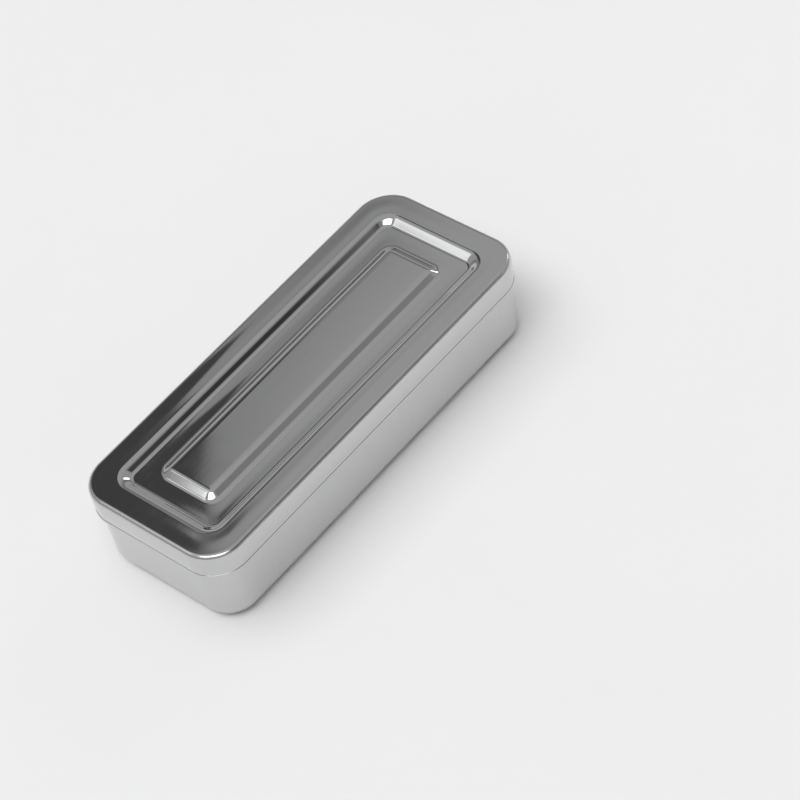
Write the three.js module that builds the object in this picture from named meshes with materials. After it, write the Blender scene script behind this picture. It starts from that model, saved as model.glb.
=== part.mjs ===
// Instrument tray: a deep-drawn stainless steel tray with a slip-over cover.
// Millimetres, +Z up, +X along the length. The origin is the middle of the tray's flat bottom,
// which stands on the table.
//
// Both pieces are drawn from one flat sheet, so each is a shell of even thickness. A shell is
// described by its profile, a chain of corners from the middle of the sheet to its cut edge. Each
// corner says how far it lies inside the overall outline (inset), its height (z), the radius of
// its ring in plan (planRadius) and the radius that the sheet is bent to there (bend).
import * as THREE from "three";

// Overall size, closed
const LENGTH = 200;
const WIDTH = 80.5;
const HEIGHT = 44;
const PLAN_CORNER_RADIUS = 16.3; // the vertical corners, over the cover's bead

// Sheet and fit
const SHEET = 0.8;
const SLIP_GAP = 0.5; // between the cover's waist and the tray's wall, all round
const REST_GAP = 0.3; // between the tray's rim and the inside of the cover's fold

// Cover
const SKIRT_DEPTH = 13.2;
const FOLD_RADIUS = 2.2;
const BEAD_HEIGHT = 1.4; // the half-round bead along the skirt's lower edge
const BEAD_PROUD = 0.35; // out of the waist above it, which makes it flush with the skirt
const WAIST_HEIGHT = 4; // how far above the bead the skirt starts to lean in to its waist

// The cover's embossed top: a flat frame, a recessed ring and a raised panel, level with the frame
const EMBOSS_DEPTH = 2.4;
const CREST_BEND = 4; // where a slope meets the frame or the panel
const FOOT_BEND = 2.6; // where a slope meets the ring
const FRAME_INNER_INSET = 12.5;
const RING_OUTER_INSET = 15.8;
const RING_INNER_INSET = 24.6;
const PANEL_INSET = 28.7;
const END_STANDOFF = 0.8; // the ring and the panel lie this much further in at the short ends
const FRAME_CORNER_RADIUS = 7.5; // in plan, where the frame turns down
const RING_CORNER_RADIUS = 5.5; // in plan, where the ring turns up

// Tray
const WALL_DRAFT = 0.9; // how far the wall leans in from the rim to the bottom
const BOTTOM_BEND = 6.8;

// Smoothness of the curves
const CORNER_STEPS = 10; // steps in each quarter circle, in plan
const BEND_STEPS = 8; // steps in a right-angled bend of the sheet
const BEAD_STEPS = 6; // steps round the bead's half circle

const STEEL = { color: 0xc3c6c9, metalness: 1 };

// A profile corner that runs parallel to the overall outline.
function parallelCorner(inset, z, bend) {
  return { inset, z, bend, planRadius: PLAN_CORNER_RADIUS - inset };
}

// The profile's end in the middle of the sheet, which has no ring of its own.
function middleOf(z) {
  return { inset: WIDTH / 2, z };
}

function pointOf(corner) {
  return new THREE.Vector2(corner.inset, corner.z);
}

function directionBetween(from, to) {
  return pointOf(to).sub(pointOf(from)).normalize();
}

// The sheet's other side: the same profile, shifted by the sheet's thickness to its right.
function otherSide(corners) {
  return corners.map((corner, i) => {
    const before = directionBetween(corners[Math.max(i - 1, 0)], corners[Math.max(i, 1)]);
    const last = corners.length - 1;
    const after = directionBetween(corners[Math.min(i, last - 1)], corners[Math.min(i + 1, last)]);
    const normalBefore = new THREE.Vector2(before.y, -before.x);
    const normalAfter = new THREE.Vector2(after.y, -after.x);
    const mitre = normalBefore.clone().add(normalAfter);
    mitre.multiplyScalar(SHEET / (1 + normalBefore.dot(normalAfter)));
    const bendsTowardsIt = Math.sign(normalBefore.dot(after));
    const shifted = { inset: corner.inset + mitre.x, z: corner.z + mitre.y };
    if (corner.planRadius) shifted.planRadius = corner.planRadius - mitre.x;
    if (corner.bend) shifted.bend = corner.bend - SHEET * bendsTowardsIt;
    return shifted;
  });
}

// The rings that round one corner of the profile off, or the corner's own ring where it is sharp.
function ringsAt(before, corner, after) {
  if (!corner.bend) return [corner];
  const back = directionBetween(corner, before);
  const onward = directionBetween(corner, after);
  const halfAngle = back.angleTo(onward) / 2;
  const middleLine = back.clone().add(onward).normalize();
  const centre = pointOf(corner).addScaledVector(middleLine, corner.bend / Math.sin(halfAngle));
  const start = pointOf(corner).addScaledVector(back, corner.bend / Math.tan(halfAngle));
  const sweep = Math.PI - 2 * halfAngle;
  const turn = -Math.sign(back.cross(onward));
  const steps = Math.max(2, Math.round((BEND_STEPS * sweep) / (Math.PI / 2)));
  return Array.from({ length: steps + 1 }, (_, i) => {
    const point = start.clone().rotateAround(centre, (turn * sweep * i) / steps);
    return { inset: point.x, z: point.y, planRadius: corner.planRadius + corner.inset - point.x };
  });
}

// All the rings of a profile, in its own order.
function ringsOf(corners) {
  const hasRing = (corner) => corner.planRadius !== undefined;
  return corners.flatMap((corner, i) =>
    hasRing(corner) ? ringsAt(corners[i - 1], corner, corners[i + 1]) : [],
  );
}

// The points of one ring: a rectangle with rounded corners, the same number of points in each ring.
function pointsOfRing({ inset, z, planRadius }) {
  const standoff =
    END_STANDOFF * THREE.MathUtils.smoothstep(inset, FRAME_INNER_INSET, RING_OUTER_INSET);
  const centreX = LENGTH / 2 - inset - standoff - planRadius;
  const centreY = WIDTH / 2 - inset - planRadius;
  const quadrants = [[1, 1], [-1, 1], [-1, -1], [1, -1]];
  return quadrants.flatMap(([signX, signY], quadrant) =>
    Array.from({ length: CORNER_STEPS + 1 }, (_, i) => {
      const angle = (quadrant + i / CORNER_STEPS) * (Math.PI / 2);
      const x = signX * centreX + planRadius * Math.cos(angle);
      const y = signY * centreY + planRadius * Math.sin(angle);
      return [x, y, z];
    }),
  );
}

// A closed surface through the rings. The first and last rings are filled in to the middle.
function loft(rings) {
  const perRing = 4 * (CORNER_STEPS + 1);
  const positions = rings.flatMap(pointsOfRing).flat();
  const firstMiddle = rings.length * perRing;
  const lastMiddle = firstMiddle + 1;
  positions.push(0, 0, rings[0].z, 0, 0, rings[rings.length - 1].z);
  const index = [];
  for (let k = 0; k < perRing; k++) {
    const next = (k + 1) % perRing;
    for (let ring = 0; ring + 1 < rings.length; ring++) {
      const low = ring * perRing;
      const high = low + perRing;
      index.push(low + k, low + next, high + next, low + k, high + next, high + k);
    }
    const top = (rings.length - 1) * perRing;
    index.push(firstMiddle, next, k, lastMiddle, top + k, top + next);
  }
  const geometry = new THREE.BufferGeometry();
  geometry.setAttribute("position", new THREE.Float32BufferAttribute(positions, 3));
  geometry.setIndex(index);
  geometry.computeVertexNormals();
  return geometry;
}

// The half-round bead, from the skirt's lower edge up to its waist.
function beadRings(lowerEdge) {
  return Array.from({ length: BEAD_STEPS + 1 }, (_, i) => {
    const angle = Math.PI * (i / BEAD_STEPS - 1 / 2);
    const inset = BEAD_PROUD * (1 - Math.cos(angle));
    const z = lowerEdge + (BEAD_HEIGHT / 2) * (1 + Math.sin(angle));
    return parallelCorner(inset, z);
  });
}

// The cover: a pan turned upside down, with an embossed top and a skirt that ends in a waist and
// a bead.
function coverGeometry() {
  const lowerEdge = HEIGHT - SKIRT_DEPTH;
  const ringHeight = HEIGHT - EMBOSS_DEPTH;
  const crest = (inset, planRadius) => ({ inset, planRadius, z: HEIGHT, bend: CREST_BEND });
  const foot = (inset, planRadius) => ({ inset, planRadius, z: ringHeight, bend: FOOT_BEND });
  const ringOuterRadius = FRAME_CORNER_RADIUS - (RING_OUTER_INSET - FRAME_INNER_INSET);
  const panelRadius = RING_CORNER_RADIUS - (PANEL_INSET - RING_INNER_INSET);
  const outside = [
    parallelCorner(BEAD_PROUD, lowerEdge),
    parallelCorner(BEAD_PROUD, lowerEdge + BEAD_HEIGHT),
    parallelCorner(0, lowerEdge + BEAD_HEIGHT + WAIST_HEIGHT),
    parallelCorner(0, HEIGHT, FOLD_RADIUS),
    crest(FRAME_INNER_INSET, FRAME_CORNER_RADIUS),
    foot(RING_OUTER_INSET, ringOuterRadius),
    foot(RING_INNER_INSET, RING_CORNER_RADIUS),
    crest(PANEL_INSET, panelRadius),
    middleOf(HEIGHT),
  ];
  const insideRings = ringsOf(otherSide(outside)).reverse();
  const outsideRings = ringsOf(outside).slice(2); // the bead's rings take the place of these two
  return loft([...insideRings, ...beadRings(lowerEdge), ...outsideRings]);
}

// The tray: a plain pan with leaning walls and a wide bend round its flat bottom.
function trayGeometry() {
  const wallInset = BEAD_PROUD + SHEET + SLIP_GAP;
  const foldInside = FOLD_RADIUS - SHEET;
  const intoFold = foldInside + SHEET - wallInset; // from the wall to the fold's centre line
  const foldDrop = foldInside - Math.sqrt(foldInside ** 2 - intoFold ** 2);
  const rimHeight = HEIGHT - SHEET - foldDrop - REST_GAP;
  const outside = [
    middleOf(0),
    parallelCorner(wallInset + WALL_DRAFT, 0, BOTTOM_BEND),
    parallelCorner(wallInset, rimHeight),
  ];
  const insideRings = ringsOf(otherSide(outside)).reverse();
  insideRings[0].z = rimHeight; // the cut edge is level
  return loft([...ringsOf(outside), ...insideRings]);
}

function piece(name, geometry, roughness) {
  const mesh = new THREE.Mesh(geometry, new THREE.MeshStandardMaterial({ ...STEEL, roughness }));
  mesh.name = name;
  return mesh;
}

const group = new THREE.Group();
group.add(piece("tray", trayGeometry(), 0.25));
group.add(piece("cover", coverGeometry(), 0.12));

export default group;
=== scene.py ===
"""Instrument tray with a slip-over cover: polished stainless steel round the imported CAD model.

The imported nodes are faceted, and a mirror finish shows every facet, so both are replaced by fine
lofted shells of the same size. Lengths in the shape code are in millimetres, as in the CAD source.
The materials and the studio are in metres.
"""

import math
from collections import namedtuple

import bmesh
import bpy
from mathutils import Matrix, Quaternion, Vector, noise


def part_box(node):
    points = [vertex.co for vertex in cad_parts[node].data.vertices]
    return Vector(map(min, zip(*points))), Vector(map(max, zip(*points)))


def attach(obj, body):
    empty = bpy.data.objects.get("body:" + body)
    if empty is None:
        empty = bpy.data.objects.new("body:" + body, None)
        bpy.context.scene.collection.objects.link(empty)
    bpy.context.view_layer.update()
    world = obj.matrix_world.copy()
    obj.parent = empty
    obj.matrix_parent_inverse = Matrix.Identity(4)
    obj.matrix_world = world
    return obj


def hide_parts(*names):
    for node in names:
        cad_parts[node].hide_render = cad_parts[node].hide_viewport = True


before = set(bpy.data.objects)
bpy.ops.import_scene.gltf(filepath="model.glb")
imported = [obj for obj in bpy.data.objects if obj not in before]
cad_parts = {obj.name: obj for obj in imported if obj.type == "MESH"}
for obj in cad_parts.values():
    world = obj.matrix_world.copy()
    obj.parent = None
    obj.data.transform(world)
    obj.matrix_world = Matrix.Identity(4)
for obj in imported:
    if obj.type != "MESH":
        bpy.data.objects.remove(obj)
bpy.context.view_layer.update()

MM = 0.001

# ---------------------------------------------------------------- sizes
# The overall sizes are the CAD model's own. The others repeat its driving dimensions.
COVER_LOW, COVER_HIGH = (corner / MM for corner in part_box("cover"))
TRAY_LOW, TRAY_HIGH = (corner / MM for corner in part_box("tray"))
LENGTH = COVER_HIGH.x - COVER_LOW.x
WIDTH = COVER_HIGH.y - COVER_LOW.y
HEIGHT = COVER_HIGH.z
LOWER_EDGE = COVER_LOW.z  # of the cover's skirt
RIM_HEIGHT = TRAY_HIGH.z
WALL_INSET = TRAY_LOW.x - COVER_LOW.x  # of the tray's wall at its rim

PLAN_CORNER_RADIUS = 16.3
SHEET = 0.8
FOLD_RADIUS = 2.2
BEAD_HEIGHT = 1.4
BEAD_PROUD = 0.35
WAIST_HEIGHT = 4
WAIST_BEND = 25
EMBOSS_DEPTH = 2.4
CREST_BEND = 4
FOOT_BEND = 2.6
PANEL_FOOT_BEND = 4.4  # wider than the CAD model's, by less than 0.1 mm at the surface
FRAME_INNER_INSET = 12.5
RING_OUTER_INSET = 15.8
RING_INNER_INSET = 24.6
PANEL_INSET = 28.7
END_STANDOFF = 0.8
FRAME_CORNER_RADIUS = 7.5
RING_CORNER_RADIUS = 5.5
WALL_DRAFT = 0.9
BOTTOM_BEND = 6.8

# Pressed sheet is never quite flat. These are the heights of its swells.
FRAME_SWELL = 0.033  # in the middle of the frame, across it
RING_SWELL = -0.025  # the ring dips instead
PANEL_SAG = 0.12  # in the middle of the panel's length
WAVE_HEIGHT = 0.03
WAVE_LENGTH = 55
WAVE_SEED = Vector((3.7, 1.3, 0))

# How far handling has dulled each bend and edge, from 0 to 1
EDGE_WEAR = 1.0
CREST_WEAR = 0.6
FOOT_WEAR = 0.2

# Fineness of the mesh
CORNER_STEPS = 24  # in each quarter circle, in plan
LONG_SIDE_STEPS = 44
SHORT_SIDE_STEPS = 16
BEND_STEPS = 14  # in a right-angled bend of the sheet
FLAT_STEP = 1.6  # between rings on the flats
HOLDING_STEP = 0.15  # of the rings that keep a flat flat right up to its bend
MIDDLE_STEPS = 8  # from the last ring to the middle line
FEWEST_BEND_STEPS = 4
SAME_POINT = 1e-7  # points closer than this, in metres, become one
NO_LENGTH = 1e-8  # and edges shorter than this go

# ---------------------------------------------------------------- camera
CAMERA_AZIMUTH = math.radians(-39.07)
CAMERA_ELEVATION = math.radians(47.74)
CAMERA_ROLL = math.radians(-14.88)
CAMERA_DISTANCE = 1.2202
CAMERA_LENS = 135
CAMERA_CLIP = (0.01, 20)
LOOK_AT = Vector((7.46, -47.2, HEIGHT)) * MM

Corner = namedtuple("Corner", "inset z plan_radius bend wear")
Ring = namedtuple("Ring", "inset z plan_radius collapse wear")


# ---------------------------------------------------------------- shape
def parallel_corner(inset, z, bend=0.0, wear=0.0):
    """A profile corner whose ring runs parallel to the overall outline."""
    return Corner(inset, z, PLAN_CORNER_RADIUS - inset, bend, wear)


def middle_of(z):
    """The end of a profile in the middle of the sheet. Only its direction counts."""
    return Corner(WIDTH / 2, z, 0.0, 0.0, 0.0)


def direction(start, end):
    return Vector((end.inset - start.inset, end.z - start.z)).normalized()


def other_side(corners, thickness):
    """The profile of the sheet's other side, this far to the right of the given one."""
    shifted = []
    for i, corner in enumerate(corners):
        before = direction(*corners[i - 1 : i + 1]) if i else direction(*corners[:2])
        after = direction(*corners[i : i + 2]) if i + 1 < len(corners) else before
        normal_before = Vector((before.y, -before.x))
        normal_after = Vector((after.y, -after.x))
        mitre = (normal_before + normal_after) * (thickness / (1 + normal_before.dot(normal_after)))
        inwards = math.copysign(1, normal_before.dot(after)) if corner.bend else 0
        shifted.append(
            Corner(
                corner.inset + mitre.x,
                corner.z + mitre.y,
                corner.plan_radius - mitre.x,
                corner.bend - thickness * inwards,
                corner.wear,
            )
        )
    return shifted


def bend_rings(corners, i):
    """The rings that round one profile corner off, or its own ring where it is sharp."""
    corner = corners[i]
    if not corner.bend:
        return [Ring(corner.inset, corner.z, corner.plan_radius, 0.0, corner.wear)]
    back = direction(corner, corners[i - 1])
    onward = direction(corner, corners[i + 1])
    here = Vector((corner.inset, corner.z))
    half_angle = back.angle(onward) / 2
    centre = here + (back + onward).normalized() * (corner.bend / math.sin(half_angle))
    start = here + back * (corner.bend / math.tan(half_angle)) - centre
    sweep = math.pi - 2 * half_angle
    turn = -math.copysign(1, back.cross(onward))
    steps = max(FEWEST_BEND_STEPS, round(BEND_STEPS * sweep / (math.pi / 2)))
    rings = []
    for step in range(steps + 1):
        angle = turn * sweep * step / steps
        cosine, sine = math.cos(angle), math.sin(angle)
        point = centre + Vector((start.x * cosine - start.y * sine, start.x * sine + start.y * cosine))
        radius = corner.plan_radius + corner.inset - point.x
        wear = corner.wear * math.sin(math.pi * step / steps)
        rings.append(Ring(point.x, point.y, radius, 0.0, wear))
    return rings


def flat_rings(start, end, swell):
    """The rings between two bends, with a swell of the given height in the middle."""
    span = math.hypot(end.inset - start.inset, end.z - start.z)
    if span < 3 * HOLDING_STEP:
        return []
    hold = HOLDING_STEP / span
    steps = max(1, round(span / FLAT_STEP))
    shares = [hold, *(step / steps for step in range(1, steps)), 1 - hold]
    rings = []
    for share in shares:
        inset = start.inset + (end.inset - start.inset) * share
        rise = swell * math.sin(math.pi * share) ** 2
        z = start.z + (end.z - start.z) * share + rise
        radius = start.plan_radius + (end.plan_radius - start.plan_radius) * share
        rings.append(Ring(inset, z, radius, 0.0, 0.0))
    return rings


def middle_rings(last, swell):
    """The rings that close a profile's last ring down to its middle line."""
    rings = []
    for step in range(1, MIDDLE_STEPS + 1):
        share = step / MIDDLE_STEPS
        rise = swell * math.sin(math.pi / 2 * share) ** 2
        rings.append(Ring(last.inset, last.z + rise, last.plan_radius, share, 0.0))
    return rings


def profile_rings(corners, swells):
    """All rings of a profile that ends in the middle. Each stretch between corners has a swell."""
    arcs = [bend_rings(corners, i) for i in range(len(corners) - 1)]
    rings = list(arcs[0])
    for previous, arc, swell in zip(arcs, arcs[1:], swells):
        rings += flat_rings(previous[-1], arc[0], swell) + arc
    return rings + middle_rings(rings[-1], swells[-1])


def smoothstep(value, start, end):
    share = min(max((value - start) / (end - start), 0), 1)
    return share * share * (3 - 2 * share)


def ring_points(ring):
    """A rectangle with rounded corners, or that rectangle part of the way to its middle line."""
    standoff = END_STANDOFF * smoothstep(ring.inset, FRAME_INNER_INSET, RING_OUTER_INSET)
    half_x = LENGTH / 2 - ring.inset - standoff - ring.plan_radius
    half_y = WIDTH / 2 - ring.inset - ring.plan_radius
    centres = [(half_x, half_y), (-half_x, half_y), (-half_x, -half_y), (half_x, -half_y)]
    points = []
    for quadrant, centre in enumerate(centres):
        arc = []
        for step in range(CORNER_STEPS + 1):
            angle = (quadrant + step / CORNER_STEPS) * math.pi / 2
            offset = Vector((math.cos(angle), math.sin(angle))) * ring.plan_radius
            arc.append(Vector(centre) + offset)
        following = centres[(quadrant + 1) % 4]
        side_end = Vector(following) + (arc[-1] - Vector(centre))
        side_steps = SHORT_SIDE_STEPS if quadrant % 2 else LONG_SIDE_STEPS
        side = [arc[-1].lerp(side_end, step / side_steps) for step in range(1, side_steps)]
        points += arc + side
    spine = [Vector((min(max(point.x, -half_x), half_x), 0)) for point in points]
    return [point.lerp(target, ring.collapse) for point, target in zip(points, spine)]


def loft(name, rings, wave):
    """A closed shell through the rings. wave(point, ring) lifts each point a little."""
    shape = bmesh.new()
    wear_layer = shape.verts.layers.float.new("wear")
    loops = []
    for ring in rings:
        loop = []
        for point in ring_points(ring):
            height = ring.z + wave(point, ring)
            vert = shape.verts.new((point.x * MM, point.y * MM, height * MM))
            vert[wear_layer] = ring.wear
            loop.append(vert)
        loops.append(loop)
    for low, high in zip(loops, loops[1:]):
        for k, vert in enumerate(low):
            following = (k + 1) % len(low)
            shape.faces.new((vert, low[following], high[following], high[k]))
    bmesh.ops.remove_doubles(shape, verts=loops[0] + loops[-1], dist=SAME_POINT)
    bmesh.ops.dissolve_degenerate(shape, edges=shape.edges[:], dist=NO_LENGTH)
    bmesh.ops.recalc_face_normals(shape, faces=shape.faces[:])
    for face in shape.faces:
        face.smooth = True
    mesh = bpy.data.meshes.new(name)
    shape.to_mesh(mesh)
    shape.free()
    piece = bpy.data.objects.new(name, mesh)
    bpy.context.scene.collection.objects.link(piece)
    return piece


def rim_rings(lower_inset, upper_inset, z, reach):
    """Rings of the tray's rounded rim, which rises by reach between its two insets."""
    rings = []
    for step in range(BEND_STEPS + 1):
        angle = math.pi * step / BEND_STEPS
        inset = (lower_inset + upper_inset) / 2 - (upper_inset - lower_inset) / 2 * math.cos(angle)
        ring_z = z + reach * math.sin(angle)
        rings.append(Ring(inset, ring_z, PLAN_CORNER_RADIUS - inset, 0.0, EDGE_WEAR))
    return rings


def bead_rings():
    """The bead along the skirt's lower edge, from the cut edge up to the plain skirt."""
    rings = []
    for step in range(BEND_STEPS + 1):
        angle = math.pi * (step / BEND_STEPS - 1 / 2)
        inset = BEAD_PROUD * (1 - math.cos(angle))
        z = LOWER_EDGE + BEAD_HEIGHT / 2 * (1 + math.sin(angle))
        wear = EDGE_WEAR * math.cos(angle)
        rings.append(Ring(inset, z, PLAN_CORNER_RADIUS - inset, 0.0, wear))
    return rings


def steady(_point, _ring):
    return 0.0


def sheet_wave(point, ring):
    """The slow swells of the cover's top, which fade out at the fold, and the panel's sag."""
    place = Vector((point.x, point.y, 0)) / WAVE_LENGTH + WAVE_SEED
    fade = min(max(ring.inset / FOLD_RADIUS - 1, 0), 1)
    along_panel = point.x / (LENGTH / 2 - PANEL_INSET - END_STANDOFF)
    sag = PANEL_SAG * smoothstep(ring.inset, RING_INNER_INSET, PANEL_INSET)
    return WAVE_HEIGHT * fade * (noise.noise(place) - 1) / 2 - sag * max(1 - along_panel**2, 0)


def make_cover():
    top = HEIGHT - FRAME_SWELL
    ring_z = top - EMBOSS_DEPTH
    ring_outer_radius = FRAME_CORNER_RADIUS - (RING_OUTER_INSET - FRAME_INNER_INSET)
    panel_radius = RING_CORNER_RADIUS - (PANEL_INSET - RING_INNER_INSET)
    outside = [
        parallel_corner(BEAD_PROUD, LOWER_EDGE),
        parallel_corner(BEAD_PROUD, LOWER_EDGE + BEAD_HEIGHT, WAIST_BEND),
        parallel_corner(0, LOWER_EDGE + BEAD_HEIGHT + WAIST_HEIGHT, WAIST_BEND),
        parallel_corner(0, top, FOLD_RADIUS, EDGE_WEAR),
        Corner(FRAME_INNER_INSET, top, FRAME_CORNER_RADIUS, CREST_BEND, CREST_WEAR),
        Corner(RING_OUTER_INSET, ring_z, ring_outer_radius, FOOT_BEND, FOOT_WEAR),
        Corner(RING_INNER_INSET, ring_z, RING_CORNER_RADIUS, PANEL_FOOT_BEND, FOOT_WEAR),
        Corner(PANEL_INSET, top, panel_radius, CREST_BEND, CREST_WEAR),
        middle_of(top),
    ]
    swells = [0.0, 0.0, 0.0, FRAME_SWELL, 0.0, RING_SWELL, 0.0, 0.0]
    outside_rings = profile_rings(outside, swells)
    above_bead = [ring for ring in outside_rings if ring.z > LOWER_EDGE + BEAD_HEIGHT + HOLDING_STEP]
    inside_rings = profile_rings(other_side(outside, SHEET), swells)
    return loft("cover_shell", [*reversed(inside_rings), *bead_rings(), *above_bead], sheet_wave)


def make_tray():
    rim_z = RIM_HEIGHT - SHEET / 2
    outside = [
        parallel_corner(WALL_INSET, rim_z),
        parallel_corner(WALL_INSET + WALL_DRAFT, 0, BOTTOM_BEND),
        middle_of(0),
    ]
    outer = profile_rings(outside, [0.0, 0.0])
    inner = profile_rings(other_side(outside, -SHEET), [0.0, 0.0])
    rim = rim_rings(outer[0].inset, inner[0].inset, rim_z, SHEET / 2)
    return loft("tray_shell", [*reversed(outer), *rim[1:-1], *inner], steady)


# ---------------------------------------------------------------- materials
class Nodes:
    """A short way to write a node tree."""

    def __init__(self, tree):
        self.tree = tree
        tree.nodes.clear()

    def add(self, kind, inputs=(), **settings):
        node = self.tree.nodes.new(kind)
        for key, value in settings.items():
            setattr(node, key, value)
        for key, value in dict(inputs).items():
            if isinstance(value, bpy.types.NodeSocket):
                self.tree.links.new(value, node.inputs[key])
            else:
                node.inputs[key].default_value = value
        return node

    def math(self, operation, first, second=0.0, third=0.0):
        inputs = {0: first, 1: second, 2: third}
        return self.add("ShaderNodeMath", inputs, operation=operation).outputs[0]

    def noise(self, place, scale, detail):
        inputs = {"Vector": place, "Scale": scale, "Detail": detail}
        return self.add("ShaderNodeTexNoise", inputs).outputs[0]

    def share(self, value, low, high):
        """How far a value has come from one limit to the other, from 0 to 1."""
        inputs = {"Value": value, "From Min": low, "From Max": high}
        return self.add("ShaderNodeMapRange", inputs).outputs[0]

    def blend(self, factor, first, second):
        inputs = {"Factor": factor, 6: first, 7: second}
        return self.add("ShaderNodeMix", inputs, data_type="RGBA").outputs[2]


# The steel's patterns. The scales are in cycles per metre.
SMEAR_SCALE = 28
SMEAR_RANGE = (0.45, 0.75)  # of the noise: no smear at its low end, a full one at its high end
BLOTCH_SCALE = 9
SCRATCH_SCALES = (14, 420, 420)
SCRATCH_TURN = (0, 0, 0.35)
SCRATCH_WIDTH = 0.008  # as a share of the noise's range
GRAIN_DEPTH = 0.00002

# What each pattern adds to the roughness
SMEAR_ROUGHNESS = 0.045
WEAR_ROUGHNESS = 0.18
SCRATCH_ROUGHNESS = 0.12

# The colour runs from dark to light steel. These are the steps that each pattern takes it.
DARK_STEEL = (0.54, 0.543, 0.546, 1)
LIGHT_STEEL = (0.66, 0.66, 0.663, 1)
PLAIN_LIGHTNESS = 0.1
GRAIN_LIGHTNESS = 0.3
BLOTCH_LIGHTNESS = 0.5
WEAR_LIGHTNESS = 0.2
SCRATCH_LIGHTNESS = 0.3

# A finish is its plain roughness, the grain's scales, and how much the grain adds and bumps.
Finish = namedtuple("Finish", "polish grain_scales grain_roughness grain_strength")
MIRROR = Finish(0.028, (40, 900, 900), 0.02, 0.025)  # with its grain along the cover
SATIN = Finish(0.09, (900, 900, 40), 0.06, 0.06)  # with its grain up the walls


def steel(name, finish):
    """Steel with fine polishing lines, soft smears, sparse hairline scratches and worn bends."""
    material = bpy.data.materials.new(name)
    material.use_nodes = True
    n = Nodes(material.node_tree)
    place = n.add("ShaderNodeTexCoord").outputs["Object"]
    wear = n.add("ShaderNodeAttribute", attribute_name="wear").outputs["Fac"]
    grain_map = {"Vector": place, "Scale": finish.grain_scales}
    grain = n.noise(n.add("ShaderNodeMapping", grain_map).outputs[0], 1, 3)
    blotches = n.noise(place, BLOTCH_SCALE, 2)
    smear = n.share(n.noise(place, SMEAR_SCALE, 4), *SMEAR_RANGE)
    scratch_map = {"Vector": place, "Scale": SCRATCH_SCALES, "Rotation": SCRATCH_TURN}
    streaks = n.noise(n.add("ShaderNodeMapping", scratch_map).outputs[0], 1, 1)
    off_scratch = n.math("ABSOLUTE", n.math("SUBTRACT", streaks, 0.5))
    scratch = n.math("MULTIPLY", n.share(off_scratch, SCRATCH_WIDTH, 0), smear)

    rough = n.math("MULTIPLY_ADD", grain, finish.grain_roughness, finish.polish)
    rough = n.math("MULTIPLY_ADD", smear, SMEAR_ROUGHNESS, rough)
    rough = n.math("MULTIPLY_ADD", wear, WEAR_ROUGHNESS, rough)
    rough = n.math("MULTIPLY_ADD", scratch, SCRATCH_ROUGHNESS, rough)
    lightness = n.math("MULTIPLY_ADD", grain, GRAIN_LIGHTNESS, PLAIN_LIGHTNESS)
    lightness = n.math("MULTIPLY_ADD", blotches, BLOTCH_LIGHTNESS, lightness)
    lightness = n.math("MULTIPLY_ADD", wear, WEAR_LIGHTNESS, lightness)
    lightness = n.math("MULTIPLY_ADD", scratch, SCRATCH_LIGHTNESS, lightness)
    colour = n.blend(n.math("MINIMUM", lightness, 1.0), DARK_STEEL, LIGHT_STEEL)
    bump = {"Strength": finish.grain_strength, "Distance": GRAIN_DEPTH, "Height": grain}
    normal = n.add("ShaderNodeBump", bump).outputs[0]
    surface = {"Base Color": colour, "Roughness": rough, "Normal": normal, "Metallic": 1.0}
    shader = n.add("ShaderNodeBsdfPrincipled", surface)
    n.add("ShaderNodeOutputMaterial", {"Surface": shader.outputs[0]})
    return material


PAPER_TONES = ((0.83, 0.83, 0.83, 1), (0.86, 0.86, 0.86, 1))
PAPER_SCALE = 6
PAPER_ROUGHNESS = 0.9
PAPER_SHEEN = 0.1


def paper():
    """The pale floor, matt, with the faintest mottling."""
    material = bpy.data.materials.new("pale_floor")
    material.use_nodes = True
    n = Nodes(material.node_tree)
    mottle = n.noise(n.add("ShaderNodeTexCoord").outputs["Object"], PAPER_SCALE, 3)
    colour = n.blend(mottle, *PAPER_TONES)
    surface = {
        "Base Color": colour,
        "Roughness": PAPER_ROUGHNESS,
        "Specular IOR Level": PAPER_SHEEN,
    }
    shader = n.add("ShaderNodeBsdfPrincipled", surface)
    n.add("ShaderNodeOutputMaterial", {"Surface": shader.outputs[0]})
    return material


# ---------------------------------------------------------------- studio
FLOOR_RADIUS = 5.0
FLOOR_SEGMENTS = 96
FLOOR_DROP = 0.00003  # keeps the floor clear of the tray's bottom, which is flat on it
BACKDROP_TONE = (0.86, 0.86, 0.86, 1)  # what the camera sees past the floor
WHITE = (1, 1, 1, 1)

KEY_ENERGY = 1.15
KEY_SPREAD = math.radians(60)
KEY_AZIMUTH, KEY_ELEVATION = 135, 74


def make_floor():
    shape = bmesh.new()
    bmesh.ops.create_circle(shape, cap_ends=True, segments=FLOOR_SEGMENTS, radius=FLOOR_RADIUS)
    mesh = bpy.data.meshes.new("floor")
    shape.to_mesh(mesh)
    shape.free()
    floor = bpy.data.objects.new("floor", mesh)
    floor.location.z = -FLOOR_DROP
    bpy.context.scene.collection.objects.link(floor)
    mesh.materials.append(paper())


def towards(azimuth, elevation):
    """The direction that points at a compass azimuth from +X and an elevation, in degrees."""
    a, e = math.radians(azimuth), math.radians(elevation)
    return Vector((math.cos(a) * math.cos(e), math.sin(a) * math.cos(e), math.sin(e)))


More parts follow.
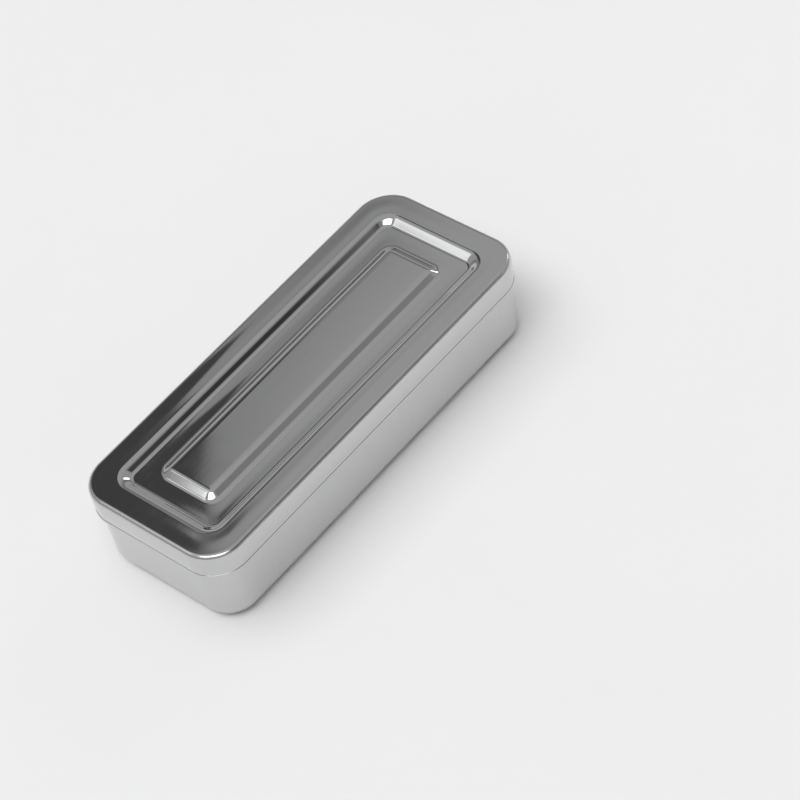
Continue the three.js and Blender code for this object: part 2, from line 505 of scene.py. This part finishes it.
# Panels of the studio that the steel mirrors: azimuth, elevation, half width, half height, turn
# (all in degrees), the softness of the edge in degrees, and brightness. Later ones lie in front.
JUST_IN_FRONT = 1e-3  # the least depth of a direction that faces a panel
Panel = namedtuple("Panel", "azimuth elevation half_width half_height turn softness brightness")
DOME = 0.42
PANELS = [
    Panel(-20, 88, 40, 30, 0, 30, 0.48),  # the ceiling light, overhead
    Panel(59.2, 37.1, 20, 10, 30, 3, 0.26),  # the ceiling's dim part over the far side
    Panel(50, 8, 76, 10, 0, 8, 0.66),  # the lit backdrop, low all along the far side
    Panel(25, 6, 22, 10, 0, 12, 0.42),  # its dimmer end
    Panel(50, 29, 66, 6, 0, 6, 0.24),  # the gap between the backdrop and the ceiling
    Panel(70, 46, 10, 10, -32.7, 3, 0.35),  # the half-shade round a black card
    Panel(70.1, 46, 9, 9, -32.7, 0.3, 0.07),  # that card, past the near end
    Panel(-73, 53, 21.5, 13, 0, 7, 0.28),  # a grey card over the near long side
    Panel(-75, 44, 17.8, 10, 0, 4, 0.05),  # a black card below it
    Panel(122, 54.5, 6, 5.5, 0, 4, 1.3),  # the soft box beyond the short end
    Panel(134.4, 45.3, 4, 4, 38, 1.1, 1.45),  # a smaller one beside it
    Panel(-152, 66, 22, 11, 0, 4, 3.5),  # the lamp above the camera
    Panel(3, 28, 4, 4, 0, 3, 4.0),  # a small lamp at the far end
]


def make_world():
    world = bpy.data.worlds.new("studio")
    bpy.context.scene.world = world
    world.use_nodes = True
    n = Nodes(world.node_tree)
    sight = n.add("ShaderNodeTexCoord").outputs["Generated"]

    def along(axis):
        return n.add("ShaderNodeVectorMath", {0: sight, 1: axis}, operation="DOT_PRODUCT").outputs[1]

    brightness = n.math("ADD", 0.0, DOME)
    for panel in PANELS:
        facing = towards(panel.azimuth, panel.elevation)
        level = towards(panel.azimuth + 90, 0)
        turn = Quaternion(facing, math.radians(panel.turn))
        across, up = turn @ level, turn @ facing.cross(level)
        depth = n.math("MAXIMUM", along(facing), JUST_IN_FRONT)
        masks = []
        for axis, half in ((across, panel.half_width), (up, panel.half_height)):
            share = n.math("ABSOLUTE", n.math("DIVIDE", along(axis), depth))
            inner = math.tan(math.radians(half - panel.softness / 2))
            outer = math.tan(math.radians(half + panel.softness / 2))
            edge = {"Value": share, "From Min": outer, "From Max": inner}
            masks.append(
                n.add("ShaderNodeMapRange", edge, interpolation_type="SMOOTHSTEP").outputs[0]
            )
        mask = n.math("MULTIPLY", *masks)
        change = n.math("SUBTRACT", panel.brightness, brightness)
        brightness = n.math("MULTIPLY_ADD", mask, change, brightness)
    mirrored = n.add("ShaderNodeBackground", {"Color": WHITE, "Strength": brightness})
    backdrop = n.add("ShaderNodeBackground", {"Color": BACKDROP_TONE})
    seen = n.add("ShaderNodeLightPath").outputs["Is Camera Ray"]
    mixed = n.add("ShaderNodeMixShader", {0: seen, 1: mirrored.outputs[0], 2: backdrop.outputs[0]})
    n.add("ShaderNodeOutputWorld", {"Surface": mixed.outputs[0]})


def make_key_light():
    """A broad soft sun for the floor. The steel doesn't mirror it: it mirrors the panels."""
    light = bpy.data.lights.new("key", "SUN")
    light.energy = KEY_ENERGY
    light.angle = KEY_SPREAD
    key = bpy.data.objects.new("key", light)
    key.rotation_mode = "QUATERNION"
    key.rotation_quaternion = (-towards(KEY_AZIMUTH, KEY_ELEVATION)).to_track_quat("-Z", "Y")
    key.visible_glossy = False
    bpy.context.scene.collection.objects.link(key)


def make_camera():
    camera = bpy.data.objects.new("camera", bpy.data.cameras.new("camera"))
    camera.data.lens = CAMERA_LENS
    camera.data.clip_start, camera.data.clip_end = CAMERA_CLIP
    back = Vector(
        (
            math.sin(CAMERA_AZIMUTH) * math.cos(CAMERA_ELEVATION),
            -math.cos(CAMERA_AZIMUTH) * math.cos(CAMERA_ELEVATION),
            math.sin(CAMERA_ELEVATION),
        )
    )
    camera.location = LOOK_AT + back * CAMERA_DISTANCE
    camera.rotation_mode = "QUATERNION"
    level = (-back).to_track_quat("-Z", "Y")
    camera.rotation_quaternion = level @ Quaternion((0, 0, 1), CAMERA_ROLL)
    bpy.context.scene.collection.objects.link(camera)
    bpy.context.scene.camera = camera


# ---------------------------------------------------------------- the scene
bpy.context.scene.view_settings.view_transform = "Standard"
make_camera()
make_world()
make_key_light()
make_floor()

cover = make_cover()
cover.data.materials.append(steel("cover_polished", MIRROR))
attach(cover, "cover")
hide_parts("cover")

tray = make_tray()
tray.data.materials.append(steel("tray_polished", SATIN))
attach(tray, "tray")
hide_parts("tray")
